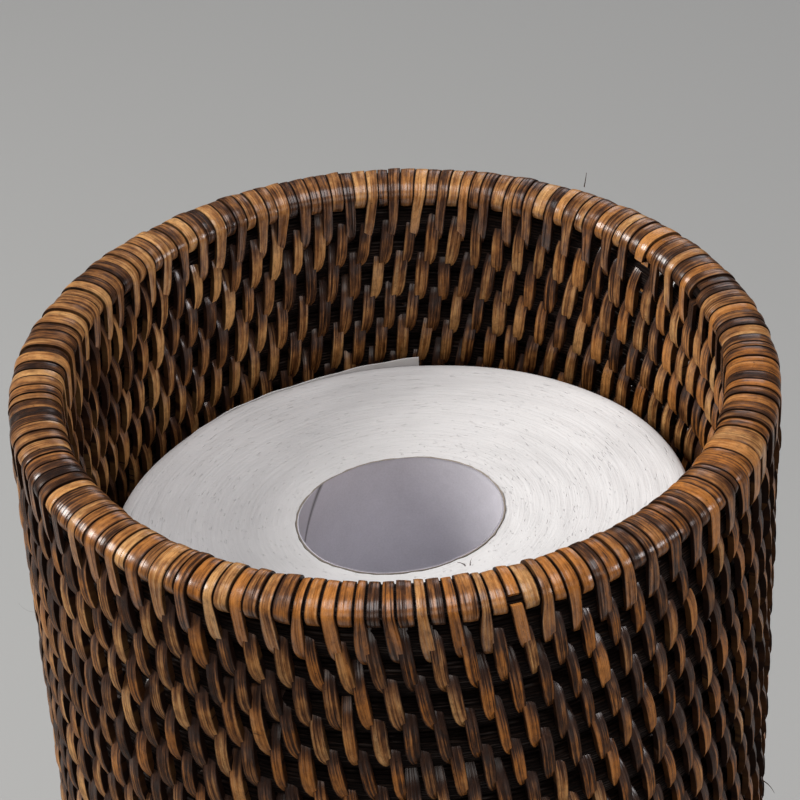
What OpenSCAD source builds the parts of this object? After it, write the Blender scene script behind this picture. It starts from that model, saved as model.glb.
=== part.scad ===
// Tall round rattan holder that stores toilet rolls in a stack.
// A continuous coil makes the wall, flat peel lashes each pair of turns together,
// and a wrapped ring closes the rim and the foot. Three rolls stand inside.
// Millimetres. Origin at the centre of the foot's underside, +Z up, -Y is the front.

/* [Wall] */
// Outside diameter over the lashings
outer_d = 150; // [146:1:170]
// Thickness of the wall over the lashings on both faces
wall_t = 11.2; // [10.8:0.2:12]
// Radial thickness of the coil by itself
coil_t = 6.4; // [5.6:0.2:6.6]
// Height of one turn of the coil
row_pitch = 8.65; // [8.2:0.05:9]
// Number of turns in the wall, an odd number so that both ends lash alike
row_count = 39; // [37:2:45]
// Radius of the rod that the coil is laid from
rod_r = 4.6; // [4.5:0.1:5]

/* [Lashings] */
// Number of lashings round each turn
lashing_count = 84; // [60:4:96]
// Share of the pitch that a strip of peel covers
strip_fill = 0.9; // [0.7:0.05:0.92]
// Depth of the dip where two lashings of a column meet
dip = 1.7; // [1.2:0.1:1.9]

/* [Rim and foot] */
// Height of the wrapped rim
rim_h = 5.8; // [5.4:0.2:8]
// Height of the wrapped foot
foot_h = 6.6; // [6:0.2:8]
// How far the foot reaches inwards past the wall to carry the floor
foot_lip = 2.4; // [2:0.2:4]
// Thickness of the peel where it wraps a ring
wrap_t = 0.7; // [0.5:0.1:1]

/* [Floor] */
// Thickness of the floor's coil
floor_t = 4.8; // [3.6:0.2:5]
// Number of full turns round the floor's centre
floor_turns = 7; // [5:1:8]
// Number of lashings that start at the middle of the floor, doubled on the way out
floor_lashing_count = 8; // [6:1:8]
// Height of the floor's lashings over its coil
floor_lashing_h = 0.55; // [0.4:0.05:0.7]
// Width of the floor's lashings
floor_lashing_w = 2.4; // [2:0.1:2.6]

/* [Rolls] */
// Diameter of a full roll
roll_d = 116; // [100:1:118]
// Height of a roll
roll_h = 100; // [95:1:105]
// Inside diameter of the cardboard tube
tube_d = 41.2; // [38:0.2:45]
// Thickness of the cardboard tube
tube_t = 0.8; // [0.5:0.1:1.2]
// Thickness of the loose last sheet, two plies
sheet_t = 0.3; // [0.2:0.05:0.5]
// How far the upper roll's loose sheet has slipped up
sheet_slip = 2.2; // [0:0.2:4]
// How far a loose sheet stops short of the roll's ends
sheet_inset = 0.4; // [0.2:0.1:1]
// Angle of roll that a loose sheet covers
sheet_angle = 60; // [30:5:110]

/* [Clearances] */
// Gap between a strip of peel and the coil or ring that it covers
peel_gap = 0.2; // [0.15:0.05:0.3]
// Gap between the floor and the lashings round it
floor_gap = 0.3; // [0.2:0.1:0.5]
// Gap between pieces that stand on each other
stack_gap = 0.1; // [0.05:0.05:0.2]
// Gap between the paper and its tube, and between the paper and a loose sheet
paper_gap = 0.1; // [0.05:0.05:0.2]

/* [Hidden] */
$fn = 72;

// Colours
peel_colour = [0.50, 0.29, 0.13];
dark_peel_colour = [0.33, 0.20, 0.11];
core_colour = [0.13, 0.09, 0.07];
paper_colour = [0.92, 0.91, 0.89];
board_colour = [0.62, 0.60, 0.62];

// Wall
wall_half = wall_t / 2;
coil_half = coil_t / 2;
wall_r = outer_d / 2 - wall_half;
wall_base = foot_h;
wall_top = wall_base + row_count * row_pitch;
total_h = wall_top + rim_h;
strip_back = coil_half + peel_gap;
// Radius of the bow that a lashing takes over two turns of the coil
bow_r = (row_pitch * row_pitch + dip * dip) / (2 * dip);
column_angle = 360 / (2 * lashing_count);
strip_angle = column_angle * strip_fill;
bow_fn = 144;

// Floor
floor_r = wall_r - wall_half - floor_gap;
floor_base = foot_h + stack_gap;
floor_top = floor_base + floor_t + floor_lashing_h;
floor_pitch = floor_r / (floor_turns + 0.5);
// The floor's rod overlaps its neighbours just enough to bind the turns
floor_rod_r = floor_pitch / 2 + 0.18;
// Height of the floor's lashings where they dip between two turns
floor_dip_h = 0.25;
floor_bow = floor_lashing_h - floor_dip_h;
floor_bow_r = (floor_pitch * floor_pitch / 4 + floor_bow * floor_bow) / (2 * floor_bow);
// Turns of the floor at which its lashings double
floor_steps = [1, 2, 4, 6];

// Rolls
roll_r = roll_d / 2;
tube_r = tube_d / 2;
roll_base = floor_top + stack_gap;
roll_step = roll_h + stack_gap;
// The upper roll's loose sheet ends at the back, left of the middle
upper_sheet_end = 88;
lower_sheet_end = 200;
middle_sheet_end = 310;

function row_z(turn) = wall_top - turn * row_pitch;

// A flat oval with round ends, centred
module oval(width, height) {
  run = width - height;
  square([run, height], center = true);
  for (side = [-1, 1])
    translate([side * run / 2, 0]) circle(d = height);
}

// Direction of a column of peel. Short columns lie on the middle of the front, and long
// columns lie between them.
function column_direction(i, long) = -90 + (2 * i + (long ? 1 : 0)) * column_angle;

// Width of a strip on the outer or inner face of the wall
function strip_w(side) = PI * (wall_r + side * wall_half) / lashing_count * strip_fill;

// Wraps a section round the basket, narrowing inwards as peel does on a ring
module wraps(long) {
  for (i = [0 : lashing_count - 1])
    rotate([0, 0, column_direction(i, long) - strip_angle / 2])
      rotate_extrude(angle = strip_angle) children();
}

// Flat strip with its section in a plane through the axis
module strip(direction, width) {
  rotate([0, 0, direction]) translate([0, width / 2, 0]) rotate([90, 0, 0])
    linear_extrude(width) children();
}

// Turns of the wall's coil, as the section of one solid stack
module coil_section() {
  intersection() {
    translate([wall_r - coil_half, wall_base + peel_gap])
      square([coil_t, wall_top - wall_base - 2 * peel_gap]);
    union() {
      for (turn = [1 : row_count])
        translate([wall_r, row_z(turn) + row_pitch / 2]) circle(r = rod_r);
    }
  }
}

// Bows of a strip of peel over pairs of turns, one above the other. low is the lowest dip.
module bows(low, count, side) {
  back = wall_r + side * strip_back;
  front = wall_r + side * (wall_half + 1);
  for (i = [0 : count - 1]) intersection() {
    translate([min(back, front), low + 2 * i * row_pitch])
      square([abs(front - back), 2 * row_pitch]);
    translate([wall_r + side * (wall_half - bow_r), low + (2 * i + 1) * row_pitch])
      circle(r = bow_r, $fn = bow_fn);
  }
}

// All lashings on one face. first is the turn under the tops of the columns.
module lashings(first, side) {
  pairs = (row_count - 1) / 2;
  for (i = [0 : lashing_count - 1])
    strip(column_direction(i, first == 2), strip_w(side))
      bows(row_z(first - 1 + 2 * pairs), pairs, side);
}

// Leg of a long wrap, which runs from the middle of a ring over one turn of the coil
module wrap_leg(ring_edge, ring_h, side, up) {
  back = wall_r + side * strip_back;
  front = wall_r + side * (wall_half + 1);
  tip = ring_edge + up * (row_pitch - peel_gap);
  root = ring_edge - up * ring_h / 2;
  intersection() {
    translate([min(back, front), min(tip, root)])
      square([abs(front - back), abs(tip - root)]);
    translate([wall_r + side * (wall_half - bow_r), ring_edge])
      circle(r = bow_r, $fn = bow_fn);
  }
}

// Peel wrapped once round a ring of oval section. up is the way that its legs run on
// over the wall, or 0 for a wrap without legs.
module wrap_section(centre_r, centre_z, width, height, up = 0) {
  difference() {
    union() {
      translate([centre_r, centre_z]) oval(width, height);
      if (up != 0)
        for (side = [-1, 1]) wrap_leg(centre_z + up * height / 2, height, side, up);
    }
    translate([centre_r, centre_z]) oval(width - 2 * wrap_t, height - 2 * wrap_t);
  }
}

module ring_core(centre_r, centre_z, width, height) {
  skin = 2 * (wrap_t + peel_gap);
  rotate_extrude() translate([centre_r, centre_z]) oval(width - skin, height - skin);
}

// Foot
foot_w = wall_t + foot_lip;
foot_r = wall_r - foot_lip / 2;

module foot_core() {
  color(core_colour) ring_core(foot_r, foot_h / 2, foot_w, foot_h);
}

module foot_wraps_short() {
  color(peel_colour) wraps(true) wrap_section(foot_r, foot_h / 2, foot_w, foot_h);
}

module foot_wraps_long() {
  color(peel_colour) wraps(false) wrap_section(foot_r, foot_h / 2, foot_w, foot_h, 1);
}

// Floor
module floor_coil() {
  color(core_colour) rotate_extrude() intersection() {
    translate([0, floor_base]) square([floor_r, floor_t]);
    union() {
      translate([0, floor_base + floor_t / 2 - floor_rod_r])
        square([floor_rod_r - 0.01, 2 * floor_rod_r]);
      for (turn = [1 : floor_turns])
        translate([turn * floor_pitch, floor_base + floor_t / 2]) circle(r = floor_rod_r);
    }
  }
}

// Lashings over each turn of the floor, on top or underneath. They stop short of reach.
module floor_lashings(up, reach) {
  seat = up > 0 ? floor_base + floor_t : floor_base;
  for (level = [0 : len(floor_steps) - 1]) {
    first = floor_steps[level];
    count = floor_lashing_count * pow(2, level);
    if (first <= floor_turns) for (i = [0 : count - 1])
      if (level == 0 || i % 2 == 1)
        strip(i * 360 / count, floor_lashing_w)
          translate([0, seat]) floor_bows(first, up, reach);
  }
}

module floor_bows(first, up, reach) {
  for (turn = [first : floor_turns]) {
    start = (turn - 0.5) * floor_pitch;
    stop = min((turn + 0.5) * floor_pitch, reach);
    intersection() {
      translate([start, up > 0 ? 0.05 : -1.05]) square([stop - start, 1]);
      translate([turn * floor_pitch, up * (floor_lashing_h - floor_bow_r)])
        circle(r = floor_bow_r, $fn = 6 * bow_fn);
    }
  }
}

module floor_lashings_upper() {
  color(dark_peel_colour) floor_lashings(1, floor_r);
}

// These stay inside the foot, so that the coil itself rests on it
module floor_lashings_lower() {
  color(dark_peel_colour) floor_lashings(-1, foot_r - foot_w / 2 - peel_gap);
}

// Wall
module wall_coil() {
  color(core_colour) rotate_extrude() coil_section();
}

module outer_lashings_short() {
  color(dark_peel_colour) lashings(1, 1);
}

module outer_lashings_long() {
  color(dark_peel_colour) lashings(2, 1);
}

module inner_lashings_short() {
  color(dark_peel_colour) lashings(1, -1);
}

module inner_lashings_long() {
  color(dark_peel_colour) lashings(2, -1);
}

// Rim
module rim_core() {
  color(core_colour) ring_core(wall_r, total_h - rim_h / 2, wall_t, rim_h);
}

module rim_wraps_short() {
  color(peel_colour) wraps(false)
    wrap_section(wall_r, total_h - rim_h / 2, wall_t, rim_h);
}

module rim_wraps_long() {
  color(peel_colour) wraps(true)
    wrap_section(wall_r, total_h - rim_h / 2, wall_t, rim_h, -1);
}

// Rolls, counted from the floor up
module roll_tube(level) {
  color(board_colour) translate([0, 0, roll_base + level * roll_step]) difference() {
    cylinder(r = tube_r + tube_t, h = roll_h);
    translate([0, 0, -1]) cylinder(r = tube_r, h = roll_h + 2);
  }
}

module roll_paper(level) {
  edge = 1.2;
  inside = tube_r + tube_t + paper_gap;
  color(paper_colour) translate([0, 0, roll_base + level * roll_step]) rotate_extrude() {
    translate([inside, 0]) square([roll_r - edge - inside, roll_h]);
    translate([roll_r - edge, edge]) square([edge, roll_h - 2 * edge]);
    for (end = [edge, roll_h - edge]) translate([roll_r - edge, end]) circle(r = edge);
  }
}

module roll_sheet(level, sheet_end, slip) {
  color(paper_colour) translate([0, 0, roll_base + level * roll_step + slip])
    rotate([0, 0, sheet_end])
      rotate_extrude(angle = sheet_angle)
        translate([roll_r + paper_gap, sheet_inset])
          square([sheet_t, roll_h - 2 * sheet_inset]);
}

module lower_roll_tube() { roll_tube(0); }
module lower_roll_paper() { roll_paper(0); }
module lower_roll_sheet() { roll_sheet(0, lower_sheet_end, 0); }
module middle_roll_tube() { roll_tube(1); }
module middle_roll_paper() { roll_paper(1); }
module middle_roll_sheet() { roll_sheet(1, middle_sheet_end, 0); }
module upper_roll_tube() { roll_tube(2); }
module upper_roll_paper() { roll_paper(2); }
module upper_roll_sheet() { roll_sheet(2, upper_sheet_end, sheet_slip); }

foot_core();
foot_wraps_short();
foot_wraps_long();
floor_coil();
floor_lashings_upper();
floor_lashings_lower();
wall_coil();
outer_lashings_short();
outer_lashings_long();
inner_lashings_short();
inner_lashings_long();
rim_core();
rim_wraps_short();
rim_wraps_long();
lower_roll_tube();
lower_roll_paper();
lower_roll_sheet();
middle_roll_tube();
middle_roll_paper();
middle_roll_sheet();
upper_roll_tube();
upper_roll_paper();
upper_roll_sheet();
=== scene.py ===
import math

import bmesh
import bpy
import numpy as np
from mathutils import Matrix, Vector


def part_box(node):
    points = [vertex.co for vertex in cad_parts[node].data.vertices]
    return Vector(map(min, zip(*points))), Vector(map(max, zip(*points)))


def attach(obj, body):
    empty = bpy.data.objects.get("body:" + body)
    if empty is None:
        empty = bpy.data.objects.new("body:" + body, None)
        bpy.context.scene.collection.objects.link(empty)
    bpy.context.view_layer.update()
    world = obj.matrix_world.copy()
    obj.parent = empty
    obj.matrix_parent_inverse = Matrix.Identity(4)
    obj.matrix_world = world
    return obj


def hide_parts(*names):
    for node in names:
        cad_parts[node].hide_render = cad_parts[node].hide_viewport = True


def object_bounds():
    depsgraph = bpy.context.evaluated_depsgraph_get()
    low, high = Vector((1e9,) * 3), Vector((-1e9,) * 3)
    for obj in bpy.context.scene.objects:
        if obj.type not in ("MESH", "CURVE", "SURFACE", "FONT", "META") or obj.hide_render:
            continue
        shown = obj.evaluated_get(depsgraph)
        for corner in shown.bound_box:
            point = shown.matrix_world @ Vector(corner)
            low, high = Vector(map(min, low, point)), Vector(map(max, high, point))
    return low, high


bl_info = {
    "name": "Rattan Roll Holder",
    "version": (1, 0, 0),
    "blender": (4, 5, 0),
    "location": "3D View > Sidebar > Roll Holder",
    "description": "Dresses a coiled rattan toilet roll holder in peel, cane and paper",
    "category": "Object",
}

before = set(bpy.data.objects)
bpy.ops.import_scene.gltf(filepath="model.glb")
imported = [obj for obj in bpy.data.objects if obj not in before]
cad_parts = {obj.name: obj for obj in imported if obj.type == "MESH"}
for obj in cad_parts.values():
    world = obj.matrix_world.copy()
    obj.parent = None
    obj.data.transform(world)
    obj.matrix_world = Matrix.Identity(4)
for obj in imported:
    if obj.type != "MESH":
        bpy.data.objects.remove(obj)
CAD_BOX = [list(corner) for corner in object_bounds()]
MM = 0.001


def span(node):
    """Lowest and highest corner of a CAD node, in metres."""
    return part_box(node)


# Sizes of the holder, from the frame
RIM_R = CAD_BOX[1][0]
TOP = span("rim_wraps_short")[1].z
RIM_H = TOP - span("rim_wraps_short")[0].z
FOOT_H = span("foot_wraps_short")[1].z
WALL_TOP = TOP - RIM_H
TURNS = 39
COLUMNS = 84
PITCH = (WALL_TOP - FOOT_H) / TURNS
WALL_T = RIM_R - min(math.hypot(v.co.x, v.co.y)
                     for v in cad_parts["rim_wraps_short"].data.vertices)
WALL_R = RIM_R - WALL_T / 2

# How far the crests of the coil's turns lie inside the wall's face, and the groove between turns
COIL_INSET = 1.45 * MM
COIL_GROOVE = 2.2 * MM
# Width of one strand of cane in a turn of the coil
STRAND = 0.62 * MM
# How far the strips lie inside the faces of the wall and of the rings
LASHING_INSET = 0.16 * MM
WRAP_INSET = 0.15 * MM
# How much higher some strips lie than others, as a spread
STRIP_LIFT = 0.13 * MM
# How deep the side walls of a lashing and of a wrap reach
LASHING_WALL = 1.3 * MM
WRAP_WALL = 0.8 * MM
# How far a lashing's ends sink between the turns of the coil
END_TUCK = 3.5 * MM
# How far some lashings lie above or below their row, as a spread
ROW_WANDER = 0.3 * MM
# Thickness of a loose fibre at its root
FIBRE_THICKNESS = 0.11 * MM
# How far inwards the foot's wraps reach, to carry the floor
FOOT_LIP = 2.4 * MM
# How high the foot's wraps start, so that none of them reaches below the ground
FOOT_START = 0.18 * MM
# How far the cores of the rim and the foot lie inside their wraps, sideways and upwards
CORE_INSET = (1.1 * MM, 1.0 * MM)
# How far the paper swells past its solid
PAPER_SWELL = 0.45 * MM
# Thickness of a roll's tube, and of its loose sheet
BOARD_WALL = 0.8 * MM
SHEET_WALL = 0.25 * MM
# Rounding of the paper's outer edges
PAPER_EDGE = 1.2 * MM
# Radii between which the paper round the tube is frayed
FRAYED = (20.9 * MM, 22.6 * MM)
# How much further round the upper roll's cut end lies than in its solid
CUT_END_SHIFT = math.radians(3.5)

# Faces round the coil and the cores, the paper and the tubes
COIL_STEPS = 120
PAPER_STEPS = 180
TUBE_STEPS = 96

# Colours that belong to one finish each
# Painted shade for the upper ends of the wall's lashings, where they sink between the turns
HEAD_SHADE = (0.062, 0.031, 0.022, 1)
# Painted glints on the cane, at random spots
CANE_GLINT = (0.026, 0.013, 0.008, 1)
# Painted shade in the grooves between the cane's strands
CANE_GROOVE_SHADE = (0.003, 0.002, 0.0015, 1)
BOARD_SEAM = (0.2, 0.19, 0.2, 1)
BOARD_CUT_EDGE = (0.24, 0.205, 0.17, 1)
SKY = (0.86, 0.87, 0.92, 1)

# The photograph's camera, found by fitting the ellipses of the rim and the roll
PHOTO_PX = 800
FOCAL_PX = 2862.0
CAMERA_ELEVATION = math.radians(34.93)
CAMERA_ROLL = math.radians(2.92)
CAMERA_DISTANCE = 0.5538
SENSOR_MM = 36
# The frame's middle lies right of and below the middle of the rim
AIM_RIGHT_PX = 7.4
AIM_BELOW_PX = 39.3

# Irregular wraps of the rim: column, share of the length where the strip is missing from
# and to, how many times the usual lean it has, and what its tone is raised by
ODD_WRAPS = {
    "rim_peel_long": ((3, 0.352, 0.385, 2.6, 0.10), (29, 0.72, 1.0, 1.0, 0.75),
                      (25, 0.62, 0.70, 2.5, 0.0)),
    "rim_peel_short": ((65, 0.0, 0.0, 1.0, -0.6), (69, 0.0, 0.0, 1.0, -0.5)),
}


# Properties

class WeaveProperties(bpy.types.PropertyGroup):
    """Sizes and colours of the coil and its peel."""
    strip_width: bpy.props.FloatProperty(
        name="Strip width", description="Width of a strip of peel on the outer face",
        default=2.5 * MM, unit="LENGTH")
    lean: bpy.props.FloatProperty(
        name="Lean", description="Angle by which a lashing leans from upright",
        default=math.radians(6.5), subtype="ANGLE")
    lashing_length: bpy.props.FloatProperty(
        name="Lashing length", description="Height of a lashing between its tucked ends",
        default=16.7 * MM, unit="LENGTH")
    crown: bpy.props.FloatProperty(
        name="Crown", description="Rise of the middle of a strip over its edges",
        default=0.07 * MM, unit="LENGTH")
    seed: bpy.props.IntProperty(
        name="Seed", description="Picks the widths and tones of the strips", default=11)
    gold: bpy.props.FloatVectorProperty(
        name="Golden peel", description="Lightest peel", subtype="COLOR", size=4,
        default=(0.60, 0.315, 0.115, 1))
    tan: bpy.props.FloatVectorProperty(
        name="Tan peel", description="Ordinary peel", subtype="COLOR", size=4,
        default=(0.31, 0.130, 0.040, 1))
    brown: bpy.props.FloatVectorProperty(
        name="Brown peel", description="Stained peel", subtype="COLOR", size=4,
        default=(0.080, 0.030, 0.0105, 1))
    orange: bpy.props.FloatVectorProperty(
        name="Orange peel", description="Warm tone of some strips", subtype="COLOR", size=4,
        default=(0.48, 0.165, 0.028, 1))
    black: bpy.props.FloatVectorProperty(
        name="Dark peel", description="Darkest stain", subtype="COLOR", size=4,
        default=(0.013, 0.0050, 0.0026, 1))
    cane: bpy.props.FloatVectorProperty(
        name="Cane", description="Strands of the coil", subtype="COLOR", size=4,
        default=(0.008, 0.0042, 0.0032, 1))


class RollProperties(bpy.types.PropertyGroup):
    """Looks of the rolls that stand in the holder."""
    tissue: bpy.props.FloatVectorProperty(
        name="Tissue", description="Colour of the paper", subtype="COLOR", size=4,
        default=(0.68, 0.665, 0.66, 1))
    board: bpy.props.FloatVectorProperty(
        name="Board", description="Colour of the cardboard tube", subtype="COLOR", size=4,
        default=(0.79, 0.77, 0.83, 1))
    lean_right: bpy.props.FloatProperty(
        name="Lean to the right", description="How far the upper roll's layers slipped sideways",
        default=math.radians(3.2), subtype="ANGLE")
    lean_front: bpy.props.FloatProperty(
        name="Lean to the front", description="How far the upper roll's layers slipped forwards",
        default=math.radians(4.8), subtype="ANGLE")


class StageProperties(bpy.types.PropertyGroup):
    """Floor and lights."""
    floor: bpy.props.FloatVectorProperty(
        name="Floor", description="Colour of the plain floor", subtype="COLOR", size=4,
        default=(0.385, 0.385, 0.376, 1))
    key: bpy.props.FloatProperty(
        name="Key light", description="Strength of the main light", default=19.5)


# Shader building

class Sock:
    """A value in a shader, so that its maths reads as an expression."""

    def __init__(self, shader, socket):
        self.shader, self.socket = shader, socket

    def _math(self, operation, *terms):
        return self.shader.node("ShaderNodeMath", {"operation": operation}, dict(enumerate(terms)))

    def __add__(self, other):
        return self._math("ADD", self, other)

    def __radd__(self, other):
        return self._math("ADD", other, self)

    def __sub__(self, other):
        return self._math("SUBTRACT", self, other)

    def __rsub__(self, other):
        return self._math("SUBTRACT", other, self)

    def __mul__(self, other):
        return self._math("MULTIPLY", self, other)

    def __rmul__(self, other):
        return self._math("MULTIPLY", other, self)

    def __truediv__(self, other):
        return self._math("DIVIDE", self, other)

    def sin(self):
        return self._math("SINE", self)

    def abs(self):
        return self._math("ABSOLUTE", self)

    def root(self):
        return self._math("SQRT", self)

    def turn_from(self, x):
        """Direction of the point (x, this value) round the origin, in radians."""
        return self._math("ARCTAN2", self, x)

    def clamp(self):
        return self.shader.node("ShaderNodeClamp", {}, {"Value": self})

    def ramp(self, low, high):
        """0 at low and below, 1 at high and above, straight between them."""
        return self.shader.node("ShaderNodeMapRange", {"clamp": True},
                                {"Value": self, "From Min": low, "From Max": high})


class Shader:
    """A material under construction."""

    def __init__(self, name):
        self.material = bpy.data.materials.new(name)
        self.material.use_nodes = True
        self.tree = self.material.node_tree
        self.surface = self.tree.nodes["Principled BSDF"]

    def node(self, kind, settings, values, out=0):
        """Adds a node: its settings first, then the values or links of its sockets."""
        made = self.tree.nodes.new(kind)
        for key, value in settings.items():
            setattr(made, key, value)
        for key, value in values.items():
            self.put(made, key, value)
        return Sock(self, made.outputs[out])

    def put(self, made, key, value):
        if isinstance(value, Sock):
            self.tree.links.new(value.socket, made.inputs[key])
        else:
            made.inputs[key].default_value = value

    def set(self, **values):
        """Sets or links sockets of the surface, named with underscores for spaces."""
        for key, value in values.items():
            self.put(self.surface, key.replace("_", " "), value)

    def coords(self):
        return self.node("ShaderNodeTexCoord", {}, {}, 3)

    def axes(self, vector):
        split = self.node("ShaderNodeSeparateXYZ", {}, {0: vector}).socket.node
        return [Sock(self, output) for output in split.outputs]

    def around(self):
        """Distance from the object's axis, direction round it, and height."""
        x, y, z = self.axes(self.coords())
        return (x * x + y * y).root(), y.turn_from(x), z

    def vector(self, x, y, z):
        return self.node("ShaderNodeCombineXYZ", {}, {"X": x, "Y": y, "Z": z})

    def attribute(self, name):
        return self.node("ShaderNodeAttribute", {"attribute_name": name}, {}, 2)

    def noise(self, vector, scale, detail=3.0, rough=0.55):
        return self.node("ShaderNodeTexNoise", {},
                         {"Vector": vector, "Scale": scale, "Detail": detail, "Roughness": rough})

    def mix(self, factor, low, high):
        return self.node("ShaderNodeMix", {"data_type": "RGBA"}, {0: factor, 6: low, 7: high}, 2)

    def bump(self, height, distance, strength=1.0):
        return self.node("ShaderNodeBump", {},
                         {"Height": height, "Distance": distance, "Strength": strength})


def shade(colour, factor):
    """A colour made darker by a factor."""
    return tuple(factor * part for part in colour[:3]) + (1,)


def peel_material(name, weave, streaky, fade):
    """Varnished rattan peel: a tone for each strip, streaks along the fibre, dark edges.

    The upper end of each strip is darker and browner by fade, as painted shade where it sinks
    between the turns, and keeps the most shine. By fade too, each strip is painted darker towards
    one edge, as shade from the light at the left.
    """
    peel = Shader(name)
    along, across, _ = peel.axes(peel.node("ShaderNodeUVMap", {"uv_map": "fibre"}, {}))
    tone, shift = peel.attribute("tone"), peel.attribute("shift")

    def grain(per_mm, per_half, offsets, detail, rough=0.55):
        """Noise drawn out along the fibre, and different on each strip."""
        a, b, c = (shift * offset for offset in offsets)
        return peel.noise(peel.vector(along * per_mm + a, across * per_half + b, c),
                          1.0, detail, rough)

    streak = grain(0.045, 2.4, (40, 90, 50), 4.0, 0.65)
    fine = grain(0.10, 5.5, (70, 20, 30), 2.0)
    patch = grain(0.20, 0.7, (60, 0, 20), 3.0)
    knot = grain(2.0, 2.6, (33, 0, 77), 1.0).ramp(0.70, 0.78)
    mottle = grain(0.5, 1.1, (51, 0, 9), 4.0, 0.7).ramp(0.45, 0.70)
    # Lightness, from the strip's tone, its streaks and patches, and painted shade by fade at its
    # upper end and towards one edge
    lines = (streak - 0.5) * 1.7 + streak.ramp(0.44, 0.56) * 0.4 - 0.2 + (fine - 0.5)
    middle = along.ramp(-6.5, -1.0) * fade - fade * 0.7
    level = tone + lines * streaky + (patch - 0.5) * 1.2 + middle - across * 0.10 * fade
    # Some strips are redder, and more of them at the right and at the front
    x, y, _ = peel.axes(peel.coords())
    warm = ((shift * 7.0).sin().abs() * 0.8 - y * 4.0 + x * 3.0).ramp(0.4, 0.95)
    tan = peel.mix(warm, weave.tan, shade(weave.orange, 0.72))
    gold = peel.mix(warm * 0.8, weave.gold, weave.orange)
    colour = peel.mix(level.ramp(0.0, 0.32), weave.black, weave.brown)
    colour = peel.mix(level.ramp(0.26, 0.58), colour, tan)
    colour = peel.mix(level.ramp(0.56, 0.95), colour, gold)
    colour = peel.mix(mottle * 0.6, colour, weave.brown)
    edge = across.abs().ramp(0.80, 0.97)
    fibre = fine.ramp(0.55, 0.62)
    dark = (edge * 0.85 + knot * 0.6 + fibre * 0.6 * streaky).clamp()
    sheen = (streak * 0.5 + fine * 0.5).ramp(0.42, 0.58) * (1 - edge * 0.8) * 0.85
    if fade:
        # Painted shade: the upper ends of the wall's lashings are mixed towards a dark brown
        colour = peel.mix((1 - along.ramp(-7.5, -0.5)) * 0.55, colour, HEAD_SHADE)
        sheen = sheen * (1 - along.ramp(-4.5, -0.5) * 0.85)
    peel.set(Base_Color=peel.mix(dark, colour, weave.black), Coat_Weight=sheen,
             Roughness=(0.5 + (streak - 0.5) * 0.5 + edge * 0.2).clamp(),
             Normal=peel.bump(streak * 0.7 + fine * 0.7 - fibre * 0.15, 0.28 * MM))
    peel.set(Coat_Roughness=0.25, Coat_IOR=1.75, Specular_IOR_Level=0.10)
    return peel


def cane_material(name, weave):
    """Strands of cane laid side by side, dark and dry, with painted shade in the grooves between
    them, painted glints at random spots and a dull shine on their crests.
    """
    cane = Shader(name)
    x, y, z = cane.axes(cane.coords())
    r = (x * x + y * y).root()
    wander = cane.noise(cane.vector(x * 50, y * 50, z * 260), 1.0)
    ribs = ((z / STRAND + wander * 2.2) * math.pi).sin().abs()
    rings = ((r / STRAND + wander * 2.2) * math.pi).sin().abs()
    lit = cane.noise(cane.vector(x * 160, y * 160, z * 1700), 1.0, 2.0).ramp(0.48, 0.72)
    # Painted glints: random spots of the cane are given a lighter colour
    colour = cane.mix(lit, weave.cane, CANE_GLINT)
    # Painted shade in the grooves between the strands
    cane.set(Base_Color=cane.mix(ribs.ramp(0.0, 0.6), CANE_GROOVE_SHADE, colour),
             Roughness=0.6 - lit * 0.34, Coat_Weight=lit * ribs.ramp(0.6, 0.95) * 0.3,
             Normal=cane.bump(ribs + rings * 0.6 + lit * 0.5, 0.32 * MM))
    cane.set(Specular_IOR_Level=0.05, Coat_Roughness=0.3)
    return cane


def floor_material(name, weave):
    """Peel of the floor's lashings, which run across the turns of its coil."""
    peel = Shader(name)
    r, turn, z = peel.around()
    piece = peel.noise(peel.vector(turn * 14, r * 40, z * 40), 1.0, 2.0)
    streak = peel.noise(peel.vector(turn * 220, r * 60, z * 60), 1.0)
    level = piece * 0.9 + streak * 0.7 - 0.45
    colour = peel.mix(level.ramp(0.0, 0.35), weave.black, weave.brown)
    peel.set(Base_Color=peel.mix(level.ramp(0.3, 0.7), colour, weave.tan),
             Roughness=0.45 + streak * 0.2, Coat_Weight=streak * 0.4,
             Normal=peel.bump(streak, 0.2 * MM))
    peel.set(Specular_IOR_Level=0.2)
    return peel


def tissue_material(name, roll):
    """Soft paper, with the edges of its layers showing on a roll's ends."""
    tissue = Shader(name)
    r, turn, z = tissue.around()
    layers = tissue.noise(tissue.vector(r * 1500, turn * 3, z * 30), 1.0, 3.0, 0.6)
    dash = tissue.noise(tissue.vector(r * 1900, turn * 20, z * 30), 1.0, 1.0).ramp(0.66, 0.76)
    cloud = tissue.noise(tissue.coords(), 45).ramp(0.3, 0.7)
    fluff = tissue.noise(tissue.coords(), 1100)
    colour = tissue.mix((layers * 0.6 + cloud * 0.4).ramp(0.3, 0.6),
                        shade(roll.tissue, 0.90), roll.tissue)
    tissue.set(Base_Color=tissue.mix(dash * 0.22, colour, shade(roll.tissue, 0.72)),
               Roughness=0.93 + fluff * 0.05,
               Normal=tissue.bump(layers * 0.8 - dash * 0.6 + fluff * 0.35, 0.28 * MM, 0.8))
    return tissue


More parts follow.
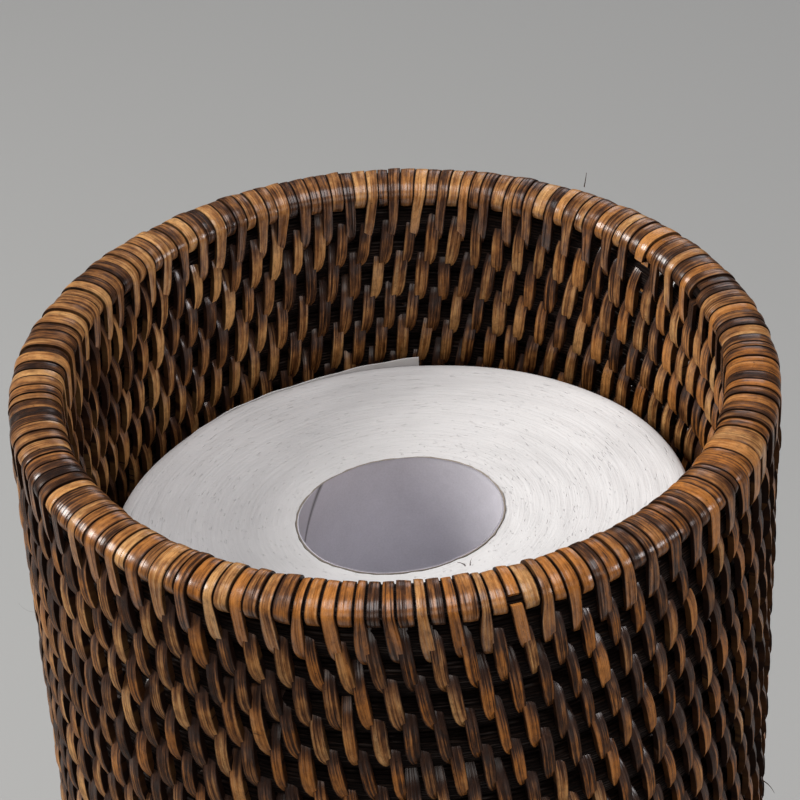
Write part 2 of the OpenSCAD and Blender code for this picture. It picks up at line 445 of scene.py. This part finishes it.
def board_material(name, roll):
    """Plain grey board of the cardboard tubes, with its slanting seam and wrinkles."""
    board = Shader(name)
    r, turn, z = board.around()
    speck = board.noise(board.coords(), 2600)
    cloud = board.noise(board.coords(), 120)
    slant = z * 26 + turn * 0.55
    wrinkle = board.noise(board.vector(slant * 9, (z * 60 - turn * 1.2) * 0.8, 0.0), 1.0, 2.0)
    seam = slant.sin().abs().ramp(0.0, 0.035)
    colour = board.mix((speck * 0.5 + cloud * 0.5).ramp(0.3, 0.7),
                       shade(roll.board, 0.84), roll.board)
    edge = r.ramp(20.75 * MM, 20.85 * MM)
    board.set(Base_Color=board.mix(edge, board.mix(seam, BOARD_SEAM, colour), BOARD_CUT_EDGE),
              Roughness=0.72 + speck * 0.15,
              Normal=board.bump(speck * 0.25 + wrinkle * 0.8 + seam * 0.2, 0.25 * MM, 0.6))
    return board


def material(name):
    """A finish by name, made on first use."""
    if name in bpy.data.materials:
        return bpy.data.materials[name]
    scene = bpy.context.scene
    weave, roll = scene.holder_weave, scene.holder_roll
    makers = {
        "peel_varnished": lambda: peel_material(name, weave, streaky=0.42, fade=0.0),
        "peel_stained_shaded": lambda: peel_material(name, weave, streaky=0.66, fade=0.55),
        "peel_floor": lambda: floor_material(name, weave),
        "cane_strands": lambda: cane_material(name, weave),
        "tissue_paper": lambda: tissue_material(name, roll),
        "tube_board": lambda: board_material(name, roll),
    }
    return makers[name]().material


# Meshes

def smooth_path(points):
    """An open polyline with its corners cut three times over, ends kept."""
    line = np.array(points, float)
    for _ in range(3):
        a, b = line[:-1], line[1:]
        cut = np.stack([a * 0.75 + b * 0.25, a * 0.25 + b * 0.75], 1).reshape(-1, line.shape[1])
        line = np.vstack([line[:1], cut[1:-1], line[-1:]])
    return line


def follow(path, t):
    """Points and outward normals of a section path at shares t of its length, and its length."""
    step = np.hypot(*np.diff(path, axis=0).T)
    run = np.concatenate([[0], np.cumsum(step)])
    at = t * run[-1]
    x, z = (np.interp(at, run, path[:, k]) for k in (0, 1))
    reach = 0.15 * MM
    ahead = np.minimum(at + reach, run[-1])
    behind = np.maximum(at - reach, 0)
    dx, dz = (np.interp(ahead, run, path[:, k]) - np.interp(behind, run, path[:, k])
              for k in (0, 1))
    size = np.hypot(dx, dz) + 1e-12
    return x, z, -dz / size, dx / size, run[-1]


def mesh_of(bm, name):
    """The mesh of a finished bmesh."""
    mesh = bpy.data.meshes.new(name)
    bm.to_mesh(mesh)
    bm.free()
    return mesh


def add_object(name, data):
    """Puts a mesh, light or camera in the scene."""
    made = bpy.data.objects.new(name, data)
    bpy.context.scene.collection.objects.link(made)
    return made


def finish_mesh(name, mesh, finish, body, nodes):
    """Puts a mesh in the scene as a piece that rides on its body."""
    mesh.shade_smooth()
    mesh.set_sharp_from_angle(angle=math.radians(48))
    mesh.materials.append(material(finish))
    piece = add_object(name, mesh)
    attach(piece, body)
    if nodes:
        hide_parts(*nodes)
    return piece


def finish_node(node, finish):
    """Gives a CAD node that stays as it is its finish."""
    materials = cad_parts[node].data.materials
    materials.clear()
    materials.append(material(finish))


def strips_object(name, count, along, across, shape, finish, nodes):
    """Strips of the basket from one long grid, cut into count pieces and bent by shape.

    shape takes the place along a strip and across it, both from -1 to 1, and the strip's
    number, and gives each point's place, its fibre map, its tone and its shift.
    """
    bm = bmesh.new()
    last = count * (along + 1) - 1
    bmesh.ops.create_grid(bm, x_segments=last, y_segments=across, size=1.0)
    station = [round((vert.co.x + 1) / 2 * last) for vert in bm.verts]
    bm.verts.index_update()
    joining = [edge for edge in bm.edges
               if station[edge.verts[0].index] // (along + 1)
               != station[edge.verts[1].index] // (along + 1)]
    bmesh.ops.delete(bm, geom=joining, context="EDGES")
    mesh = mesh_of(bm, name)
    flat = np.zeros(len(mesh.vertices) * 3, np.float32)
    mesh.vertices.foreach_get("co", flat)
    flat = flat.reshape(-1, 3).astype(float)
    station = np.rint((flat[:, 0] + 1) / 2 * last).astype(int)
    index, v = station // (along + 1), flat[:, 1]
    u = station % (along + 1) / along * 2 - 1
    place, fibre, tone, shift = shape(u, v, index)
    mesh.vertices.foreach_set("co", place.astype(np.float32).ravel())
    for label, values in (("tone", tone), ("shift", shift)):
        layer = mesh.attributes.new(label, "FLOAT", "POINT")
        layer.data.foreach_set("value", values.astype(np.float32))
    corner = np.zeros(len(mesh.loops), np.int32)
    mesh.loops.foreach_get("vertex_index", corner)
    layer = mesh.uv_layers.new(name="fibre")
    layer.data.foreach_set("uv", fibre[corner].astype(np.float32).ravel())
    return finish_mesh(name, mesh, finish, "basket", nodes)


def lathe(name, profile, steps, finish, body, nodes, warp=None):
    """A closed profile spun about the axis."""
    bm = bmesh.new()
    start = [bm.verts.new((x, 0, z)) for x, z in profile]
    edges = [bm.edges.new((a, b)) for a, b in zip(start, start[1:] + start[:1])]
    bmesh.ops.spin(bm, geom=start + edges, cent=(0, 0, 0), axis=(0, 0, 1), dvec=(0, 0, 0),
                   angle=math.tau, steps=steps, use_merge=True, use_duplicate=False)
    bmesh.ops.remove_doubles(bm, verts=bm.verts, dist=1e-7)
    bmesh.ops.recalc_face_normals(bm, faces=bm.faces)
    if warp:
        for vert in bm.verts:
            vert.co = warp(vert.co)
    return finish_mesh(name, mesh_of(bm, name), finish, body, nodes)


def cross_section(v, width, depth, crown):
    """Sideways place and height of points across a strip: walls, rounded edges, crown."""
    side, a = np.sign(v), np.abs(v)
    knots = [0.0, 1 / 3, 2 / 3, 1.0]
    lateral = np.interp(a, knots, [0.0, 0.27, 0.5, 0.5]) * width * side
    height = np.interp(a, knots, [0.0, -0.15, -1.0, -1.0]) * crown
    return lateral, height - np.where(a > 0.9, depth, 0.0)


def polar(radius, angle, z):
    """Points at a radius, a direction and a height."""
    return np.stack([radius * np.cos(angle), radius * np.sin(angle), z], 1)


def column_angle(column, long):
    """Direction of a column of peel, in radians. Short columns face the front."""
    return math.radians(-90) + (2 * column + (1 if long else 0)) * math.pi / COLUMNS


def lashings(name, long, side, node):
    """Lashings on one face of the wall, each over two turns with its ends tucked in."""
    weave = bpy.context.scene.holder_weave
    rows = (TURNS - 1) // 2
    rng = np.random.default_rng(weave.seed + (7 if long else 0) + (31 if side < 0 else 0))
    count = COLUMNS * rows
    # Each strip's differences in width, height, lean, place and twist
    wide, lift, lean, up, tip = (np.clip(rng.normal(0, 1, count), -2, 1.7) for _ in range(5))
    # Most strips are dark, and those inside are a little lighter
    tone = rng.beta(1.4, 2.1, count) * 0.85 + (-0.02 if side > 0 else 0.10)
    shift = rng.random(count)
    face = WALL_T / 2 - LASHING_INSET
    face_width = weave.strip_width * (1 if side > 0 else 1.02)

    def shape(u, v, i):
        column, row = i // rows, i % rows
        # Stations lie closer together near the ends, where the strip bends most
        s = 0.6 * u + 0.4 * np.sin(u * math.pi / 2)
        half = weave.lashing_length / 2 * (1 + 0.03 * up[i])
        middle = WALL_TOP - ((1 if long else 0) + 2 * row + 1) * PITCH + ROW_WANDER * up[i]
        # foot goes from 0 to 1 down the tapering lower part, head from 0 to 1 up the upper part
        foot = np.clip((s - 0.15) / 0.8, 0, 1)
        head = np.clip(-s * 1.5 - 0.5, 0, 1)
        width = face_width * (1 + 0.09 * wide[i])
        width = width * (1 - 0.80 * foot ** 2.1 - 0.18 * head ** 2)
        lateral, height = cross_section(v, width, LASHING_WALL, weave.crown)
        offset = face - END_TUCK * np.abs(s) ** 2.8 + height
        offset = offset + STRIP_LIFT * lift[i]
        # One edge lies deeper than the other, more so at the foot
        offset = offset - (0.17 + 0.12 * s + 0.05 * tip[i]) * lateral
        radius = WALL_R + side * offset
        sideways = (s * half * math.tan(weave.lean) * (1 + 0.3 * lean[i]) + lateral * side
                    + (0.75 + 0.25 * tip[i]) * MM * foot ** 2)
        angle = column_angle(column, long) + sideways / radius
        fibre = np.stack([s * half / MM, lateral / width * 2], 1)
        return polar(radius, angle, middle - s * half), fibre, tone[i], shift[i]

    return strips_object(name, count, 10, 6, shape, "peel_stained_shaded", [node])


def wrap_path(long, height, lip):
    """A wrap's section from its outer tucked end over the ring to its inner one.

    A point has its distance from the wall's middle and its depth, counted from the crest.
    """
    w = WALL_T / 2 - WRAP_INSET
    r = height / 2
    tuck = [(w - 2.4 * MM, height + 0.5 * MM), (w - 0.9 * MM, height - 0.5 * MM)]
    if long:
        leg = PITCH + height
        tuck = [(w - 3.0 * MM, leg + 0.6 * MM), (w - 1.5 * MM, leg - 0.4 * MM),
                (w - 0.35 * MM, leg - 2.4 * MM), (w, leg - 5.0 * MM), (w + 0.02 * MM, height)]
    outer = tuck + [(w, r * 1.15), (w - 0.35 * MM, r * 0.74), (w - 1.2 * MM, r * 0.38),
                    (w - 2.5 * MM, r * 0.12), (w - 4.2 * MM, 0.0)]
    inner = [(-x - (lip if depth < height else 0), depth) for x, depth in reversed(outer)]
    return smooth_path(outer + [(0, 0)] + inner)


def ring_wraps(name, long, base, up, height, lip, node):
    """Peel wrapped round the rim or foot. Long wraps run on over one turn of the wall.

    base is the height of the ring's crest, and up is 1 for the foot and -1 for the rim.
    """
    weave = bpy.context.scene.holder_weave
    rng = np.random.default_rng(weave.seed + 101 + (57 if up > 0 else 0))
    # Borders between neighbouring wraps, shared by the short and the long ones
    border = rng.normal(0, 0.10, 2 * COLUMNS).clip(-0.24, 0.24) * math.pi / COLUMNS
    rng = np.random.default_rng(weave.seed + 131 + (13 if long else 0) + (57 if up > 0 else 0))
    # Each wrap's differences in width, height, lean and tilt
    wide, lift, lean, tilt = (np.clip(rng.normal(0, 1, COLUMNS), -2, 1.5) for _ in range(4))
    tone = rng.beta(1.6, 1.6, COLUMNS) * 0.78 + 0.08
    shift = rng.random(COLUMNS)
    # The lightest wraps lie at the left of the front
    tone += 0.16 * np.exp(-(np.arange(COLUMNS) - 74.0) ** 2 / 60)
    # Seams are wider at the front, where the wraps were laid on less tightly
    seam = (0.17 + 0.30 * np.exp(-((np.arange(COLUMNS) + 42) % COLUMNS - 42.0) ** 2 / 60)
            + 0.22 * rng.random(COLUMNS) ** 3) * MM
    missing, lean_more = np.zeros((COLUMNS, 2)), np.ones(COLUMNS)
    for column, start, stop, more, lighter in ODD_WRAPS.get(name, ()):
        missing[column], lean_more[column] = (start, stop), more
        tone[column] += lighter
    between = long if up < 0 else not long
    place = 2 * np.arange(COLUMNS) + (1 if between else 0)
    left, right = border[place], border[(place + 1) % (2 * COLUMNS)]
    path = wrap_path(long, height, lip)
    full = math.tau * RIM_R / (2 * COLUMNS)

    def shape(u, v, i):
        t = (u + 1) / 2
        x, depth, nx, nz, length = follow(path, t)
        # 1 on the ring, where the wraps are packed, falling to 0 down a long wrap's leg
        on_ring = np.clip((1.5 * height - depth) / (1.3 * height), 0, 1)
        on_ring = on_ring * on_ring * (3 - 2 * on_ring)
        packed = full + (right[i] - left[i]) * RIM_R - seam[i]
        width = weave.strip_width * (1.0 + 0.07 * wide[i])
        width = (width + (packed - width) * on_ring) * (WALL_R + x) / RIM_R
        tip = np.clip((depth - height) / PITCH, 0, 1) ** 4
        width = width * (1 - 0.4 * tip)
        lateral, raised = cross_section(v, width, WRAP_WALL, weave.crown)
        raised = raised + STRIP_LIFT * lift[i] - 0.12 * MM + 0.07 * tilt[i] * lateral
        raised = np.where((t > missing[i, 0]) & (t < missing[i, 1]), -2.2 * MM, raised)
        radius = WALL_R + x + nx * raised
        z = base + up * (depth + nz * raised)
        reach = np.maximum(0, depth - 0.35 * height)
        lean_by = -up * reach * math.tan(weave.lean) * (0.8 + 0.3 * lean[i]) * lean_more[i]
        lean_by = lean_by + 0.5 * MM * tip
        middle = column_angle(i, between) + on_ring * (left[i] + right[i]) / 2
        angle = middle + (lateral * up + lean_by) / radius
        fibre = np.stack([t * length / MM, lateral / width * 2], 1)
        return polar(radius, angle, z), fibre, tone[i], shift[i]

    return strips_object(name, COLUMNS, 56, 6, shape, "peel_varnished", [node])


# Operators

class HOLDER_OT_coil(bpy.types.Operator):
    """Makes the wall's coil of cane, with a round face on each turn"""
    bl_idname = "holder.coil"
    bl_label = "Wall coil"

    def execute(self, context):
        crest = WALL_T / 2 - COIL_INSET
        outer, inner = [], []
        for turn in range(TURNS):
            middle = WALL_TOP - (turn + 0.5) * PITCH
            for a in np.linspace(-1, 1, 9)[(1 if turn else 0):]:
                z = middle - a * PITCH / 2 * 0.999
                bulge = crest - COIL_GROOVE * abs(a) ** 2.6
                outer.append((WALL_R + bulge, z))
                inner.append((WALL_R - bulge, z))
        lathe("wall_coil_strands", outer + inner[::-1], COIL_STEPS, "cane_strands", "basket",
              ["wall_coil"])
        return {"FINISHED"}


class HOLDER_OT_lashings(bpy.types.Operator):
    """Makes the lashings of peel on both faces of the wall"""
    bl_idname = "holder.lashings"
    bl_label = "Lashings"

    def execute(self, context):
        for face, side in (("outer", 1), ("inner", -1)):
            for kind, long in (("short", False), ("long", True)):
                node = f"{face}_lashings_{kind}"
                lashings(f"{face}_peel_{kind}", long, side, node)
        return {"FINISHED"}


class HOLDER_OT_strays(bpy.types.Operator):
    """Makes the loose fibres that stand off the peel"""
    bl_idname = "holder.strays"
    bl_label = "Loose fibres"

    def execute(self, context):
        rng = np.random.default_rng(context.scene.holder_weave.seed + 5)
        # The first few match the photograph, the others are scattered over the wall
        count, seen = 48, 5
        others = count - seen
        turn = np.concatenate([np.radians([-80.2, -79.4, 55.5, 188.0, 205.0]),
                               rng.random(others) * math.tau])
        side = np.concatenate([[-1, -1, 1, 1, 1], rng.choice([-1, 1, 1], others)])
        root = np.concatenate([[TOP - 0.6 * MM, TOP - 0.6 * MM, TOP - 0.8 * MM, 0.30, 0.285],
                               TOP - 8 * MM - rng.random(others) * 0.3])
        size = np.concatenate([[1.5, 1.2, 1.3, 4.5, 4.0], rng.uniform(1.2, 3.6, others)]) * MM
        rise, curl = rng.uniform(-0.7, 0.9, count), rng.uniform(-1.2, 1.2, count)
        rise[:3], curl[:3] = (0.2, 0.6, 2.2), (-0.9, 0.5, 0.1)

        def shape(u, v, i):
            t = (u + 1) / 2
            thick = FIBRE_THICKNESS * (1 - 0.6 * t)
            out = WALL_T / 2 - 0.4 * MM + size[i] * t * (1 - 0.3 * t * np.abs(curl[i]))
            height = root[i] + size[i] * rise[i] * t
            angle = turn[i] + (size[i] * curl[i] * t * t + v * thick) / WALL_R
            fibre = np.stack([t * 4, v], 1)
            return (polar(WALL_R + side[i] * out, angle, height + v * thick * 0.7), fibre,
                    np.full(len(u), -0.1), np.full(len(u), 0.3))

        strips_object("loose_fibres", count, 8, 2, shape, "peel_stained_shaded", [])
        return {"FINISHED"}


class HOLDER_OT_rings(bpy.types.Operator):
    """Makes the peel that is wrapped round the rim and the foot, and their cores"""
    bl_idname = "holder.rings"
    bl_label = "Rim and foot wraps"

    def execute(self, context):
        for kind, long in (("short", False), ("long", True)):
            ring_wraps(f"rim_peel_{kind}", long, TOP, -1, RIM_H, 0.0, f"rim_wraps_{kind}")
            ring_wraps(f"foot_peel_{kind}", long, FOOT_START, 1, FOOT_H, FOOT_LIP,
                       f"foot_wraps_{kind}")
        for ring, height, middle, lip in (("rim", RIM_H, TOP - RIM_H / 2, 0.0),
                                          ("foot", FOOT_H, FOOT_H / 2, FOOT_LIP)):
            out = WALL_T / 2 - CORE_INSET[0]
            profile = [(WALL_R - lip / 2 + (out + lip / 2) * math.cos(a),
                        middle + (height / 2 - CORE_INSET[1]) * math.sin(a))
                       for a in np.linspace(0, math.tau, 24, endpoint=False)]
            lathe(f"{ring}_core_strands", profile, COIL_STEPS, "cane_strands", "basket",
                  [f"{ring}_core"])
        return {"FINISHED"}


class HOLDER_OT_floor_peel(bpy.types.Operator):
    """Gives the floor's coil its cane and the floor's lashings their peel"""
    bl_idname = "holder.floor_peel"
    bl_label = "Floor"

    def execute(self, context):
        finish_node("floor_coil", "cane_strands")
        for node in ("floor_lashings_upper", "floor_lashings_lower"):
            finish_node(node, "peel_floor")
        return {"FINISHED"}


def settle(level):
    """How a roll's layers stand out of level, growing from its foot to its top."""
    low, high = span(f"{level}_roll_paper")
    roll = bpy.context.scene.holder_roll
    slipped = 1 if level == "upper" else 0
    right, front = math.tan(roll.lean_right) * slipped, math.tan(roll.lean_front) * slipped

    def warp(co):
        share = min(max((co.z - low.z) / (high.z - low.z), 0), 1.05)
        turn, r = math.atan2(co.y, co.x), math.hypot(co.x, co.y)
        ripple = (0.10 * MM * math.sin(3 * turn + r * 260)
                  + 0.06 * MM * math.sin(11 * turn + r * 900))
        lift = share * (right * co.x - front * co.y) + share ** 8 * (ripple + 0.04 * r * r)
        if FRAYED[0] < r < FRAYED[1]:
            fray = sum(math.sin(k * turn + k) for k in (7, 17, 29, 43)) / 4
            r += share ** 40 * 0.22 * MM * fray
        return Vector((r * math.cos(turn), r * math.sin(turn), co.z + lift))

    return warp


class HOLDER_OT_rolls(bpy.types.Operator):
    """Makes the toilet rolls with their layered ends, their tubes and their loose sheets"""
    bl_idname = "holder.rolls"
    bl_label = "Rolls"

    def execute(self, context):
        for seed, level in enumerate(("lower", "middle", "upper")):
            rng = np.random.default_rng(seed + 5)
            body, warp = f"{level}_roll", settle(level)
            low, high = span(f"{level}_roll_paper")
            r_tube = span(f"{level}_roll_tube")[1].x
            paper = self.paper_profile(rng, low, high, r_tube)
            lathe(f"{level}_paper_layers", paper, PAPER_STEPS, "tissue_paper", body,
                  [f"{level}_roll_paper"], warp)
            tube = self.tube_profile(low, high, r_tube)
            lathe(f"{level}_board_tube", tube, TUBE_STEPS, "tube_board", body,
                  [f"{level}_roll_tube"], warp)
            self.sheet(level, warp, body)
        return {"FINISHED"}

    def paper_profile(self, rng, low, high, r_tube):
        """Rounded outer edges, an uneven top where the layers end, and a bore for the tube."""
        r_out = high.x + PAPER_SWELL
        edge = PAPER_EDGE
        rounding = [(r_out - edge + edge * math.sin(a), edge - edge * math.cos(a))
                    for a in np.linspace(0, math.pi / 2, 5)]
        rise = high.z - low.z
        profile = [(r, low.z + dz) for r, dz in rounding]
        profile += [(r_out, low.z + rise * k / 8) for k in range(1, 8)]
        profile += [(r, high.z - dz) for r, dz in reversed(rounding)]
        layers = 44
        top = np.linspace(r_out - edge * 1.6, r_tube + 1.2 * MM, layers)
        wobble = np.cumsum(rng.normal(0, 0.035, layers)) * MM
        profile += [(r, high.z + d - 0.1 * MM) for r, d in zip(top, wobble - wobble.mean())]
        inner = r_tube + 0.1 * MM
        return profile + [(inner - 0.25 * MM, high.z - 0.3 * MM), (inner, high.z - 1.4 * MM),
                          (inner, low.z + 0.2 * MM)]

    def tube_profile(self, low, high, r_tube):
        """The section of a thin tube, with its top edge slanting inwards."""
        rise = high.z - low.z
        bore = r_tube - BOARD_WALL
        ring = [(r_tube, low.z + 1 * MM), (r_tube, high.z - 2 * MM),
                (r_tube - BOARD_WALL * 0.35, high.z - 0.1 * MM), (bore, high.z - 0.3 * MM)]
        return ring + [(bore, low.z + rise * k / 12) for k in range(12, -1, -1)]

    def sheet(self, level, warp, body):
        """The last sheet, square-cut at its end and lying closer round the roll further on."""
        node = f"{level}_roll_sheet"
        low, high = span(node)
        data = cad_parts[node].data
        turns = [math.atan2(v.co.y, v.co.x) for v in data.vertices]
        base = turns[0]
        spread = [(t - base + math.pi) % math.tau - math.pi + base for t in turns]
        start = min(spread) - (CUT_END_SHIFT if level == "upper" else 0)
        stop = max(spread)
        paper_high = span(f"{level}_roll_paper")[1]
        r_roll = paper_high.x + PAPER_SWELL
        rest = paper_high.z
        rise = max(high.z - rest, 0)
        bm = bmesh.new()
        bmesh.ops.create_grid(bm, x_segments=48, y_segments=12, size=1.0)
        for vert in bm.verts:
            share, up = (vert.co.x + 1) / 2, (vert.co.y + 1) / 2
            turn = start + share * (stop - start)
            grip = min(share / 0.36, 1) ** 0.9
            wave = 0.1 * MM * math.sin(9 * share + 4 * up) * (1 - grip)
            r = r_roll + (0.15 - 0.6 * share ** 6) * MM + (1 - grip) * 0.8 * MM * (0.3 + up) + wave
            top = rest + (rise - 0.6 * MM) * (1 - grip) - (0.3 + 1.6 * share ** 6) * MM
            z = low.z + (top - low.z) * up + 0.12 * MM * math.sin(40 * share) * up
            vert.co = warp(Vector((r * math.cos(turn), r * math.sin(turn), z)))
        bmesh.ops.recalc_face_normals(bm, faces=bm.faces)
        bmesh.ops.solidify(bm, geom=bm.faces[:], thickness=SHEET_WALL)
        bmesh.ops.recalc_face_normals(bm, faces=bm.faces)
        name = f"{level}_loose_sheet"
        finish_mesh(name, mesh_of(bm, name), "tissue_paper", body, [node])


class HOLDER_OT_stage(bpy.types.Operator):
    """Makes the plain floor, the lights and the camera"""
    bl_idname = "holder.stage"
    bl_label = "Stage"

    def execute(self, context):
        stage = context.scene.holder_stage
        self.floor(stage)
        self.sky(context)
        context.scene.view_settings.view_transform = "Standard"
        self.light("key", (-1.15, 0.12, 1.1), 0.33, (0.6, 0.6), stage.key, (1, 0.985, 0.96))
        self.light("back", (0.3, 1.45, 0.85), 0.34, (0.6, 0.6), 2.0, (0.92, 0.93, 1.0))
        self.light("front", (0.25, -1.2, 1.1), 0.3, (1.7, 0.5), 4.1, (1, 0.93, 0.88))
        self.light("side", (1.25, -0.45, 0.75), 0.3, (0.5, 0.4), 5.6, (1, 0.98, 1))
        self.light("overhead", (0.05, -0.2, 1.9), 0.2, (1.2, 1.2), 18.0, (0.98, 0.98, 1.0))
        self.camera(context)
        return {"FINISHED"}

    def floor(self, stage):
        """A plain floor, wide enough to fill the picture."""
        bm = bmesh.new()
        bmesh.ops.create_grid(bm, x_segments=1, y_segments=1, size=6.0)
        mesh = mesh_of(bm, "studio_floor")
        plain = Shader("studio_floor")
        plain.set(Base_Color=stage.floor, Roughness=0.9)
        mesh.materials.append(plain.material)
        add_object("studio_floor", mesh)

    def sky(self, context):
        """A weak, even light from all round."""
        world = bpy.data.worlds.new("studio")
        world.use_nodes = True
        background = world.node_tree.nodes["Background"]
        background.inputs["Color"].default_value = SKY
        background.inputs["Strength"].default_value = 0.06
        context.scene.world = world

    def light(self, name, place, aim, size, power, colour):
        """A soft rectangular light that looks at the axis, at the height of its aim."""
        data = bpy.data.lights.new(name, "AREA")
        data.shape, data.energy, data.color = "RECTANGLE", power, colour
        data.size, data.size_y = size
        lamp = add_object(name, data)
        lamp.location = place
        towards = Vector((0, 0, aim)) - Vector(place)
        lamp.rotation_euler = towards.to_track_quat("-Z", "Y").to_euler()

    def camera(self, context):
        """Looks at the rim from the photograph's side."""
        e = CAMERA_ELEVATION
        right = Vector((1, 0, 0))
        up = Vector((0, math.sin(e), math.cos(e)))
        back = Vector((0, -math.cos(e), math.sin(e)))
        eye = Vector((0, 0, TOP)) + back * CAMERA_DISTANCE
        cos, sin = math.cos(CAMERA_ROLL), math.sin(CAMERA_ROLL)
        up, right = up * cos + right * sin, right * cos - up * sin
        aim = -back + right * (AIM_RIGHT_PX / FOCAL_PX) - up * (AIM_BELOW_PX / FOCAL_PX)
        aim = aim.normalized()
        right = aim.cross(up).normalized()
        up = right.cross(aim)
        data = bpy.data.cameras.new("photo")
        data.lens, data.sensor_width = FOCAL_PX * SENSOR_MM / PHOTO_PX, SENSOR_MM
        data.clip_start, data.clip_end = 0.01, 50
        camera = add_object("photo", data)
        camera.matrix_world = Matrix((
            (right.x, up.x, -aim.x, eye.x), (right.y, up.y, -aim.y, eye.y),
            (right.z, up.z, -aim.z, eye.z), (0, 0, 0, 1)))
        context.scene.camera = camera


class HOLDER_PT_panel(bpy.types.Panel):
    """Lists the steps that dress the holder"""
    bl_label = "Roll Holder"
    bl_space_type = "VIEW_3D"
    bl_region_type = "UI"
    bl_category = "Roll Holder"

    def draw(self, context):
        layout = self.layout
        for group, _ in GROUPS:
            settings = getattr(context.scene, group)
            box = layout.box()
            for name in settings.__annotations__:
                box.prop(settings, name)
        for step in STEPS:
            layout.operator(step)


STEPS = ("holder.coil", "holder.lashings", "holder.strays", "holder.rings",
         "holder.floor_peel", "holder.rolls", "holder.stage")
GROUPS = (("holder_weave", WeaveProperties), ("holder_roll", RollProperties),
          ("holder_stage", StageProperties))
CLASSES = (WeaveProperties, RollProperties, StageProperties, HOLDER_OT_coil,
           HOLDER_OT_lashings, HOLDER_OT_strays, HOLDER_OT_rings, HOLDER_OT_floor_peel,
           HOLDER_OT_rolls, HOLDER_OT_stage, HOLDER_PT_panel)


def register():
    for cls in CLASSES:
        bpy.utils.register_class(cls)
    for name, cls in GROUPS:
        setattr(bpy.types.Scene, name, bpy.props.PointerProperty(type=cls))


def unregister():
    for name, _ in GROUPS:
        delattr(bpy.types.Scene, name)
    for cls in reversed(CLASSES):
        bpy.utils.unregister_class(cls)


def main():
    register()
    bpy.ops.holder.coil()
    bpy.ops.holder.lashings()
    bpy.ops.holder.strays()
    bpy.ops.holder.rings()
    bpy.ops.holder.floor_peel()
    bpy.ops.holder.rolls()
    bpy.ops.holder.stage()


if __name__ == "__main__":
    main()
